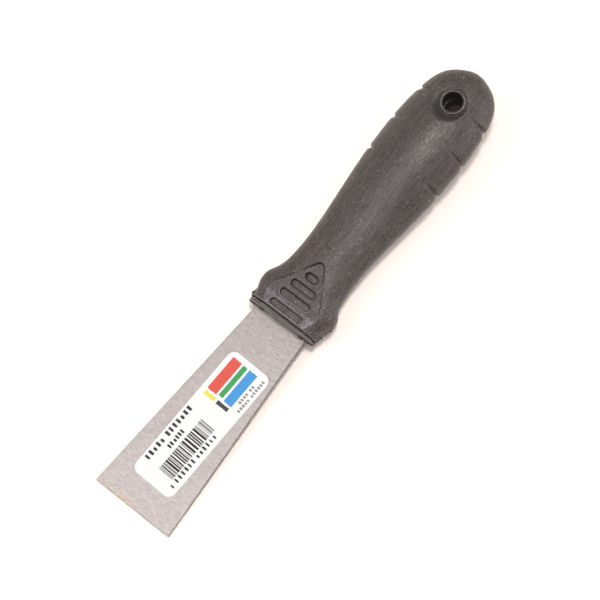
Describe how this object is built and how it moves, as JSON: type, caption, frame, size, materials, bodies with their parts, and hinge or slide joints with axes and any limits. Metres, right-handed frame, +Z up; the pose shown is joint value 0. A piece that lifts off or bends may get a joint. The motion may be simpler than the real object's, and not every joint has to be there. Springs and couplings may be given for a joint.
{
  "type": "paint scraper",
  "caption": "Hand scraper with a tapering flat steel blade cast into a dark moulded plastic handle that has a flat bolster, a swelling grip and a hang hole at the end.",
  "frame": {"origin": "under the middle of the tool's length, on the level of the handle's underside", "axes": "+X from the working edge towards the handle's end, +Z up through the sticker's face, blade level"},
  "size_m": [0.224, 0.038, 0.024],
  "materials": {
    "steel": "satin, brushed across the blade",
    "moulding": "matt, fine mottle, scuffed",
    "paper": "smooth printed paper"
  },
  "bodies": {
    "root": {"blade": "steel", "handle": "moulding", "sticker": "paper"}
  },
  "joints": []
}
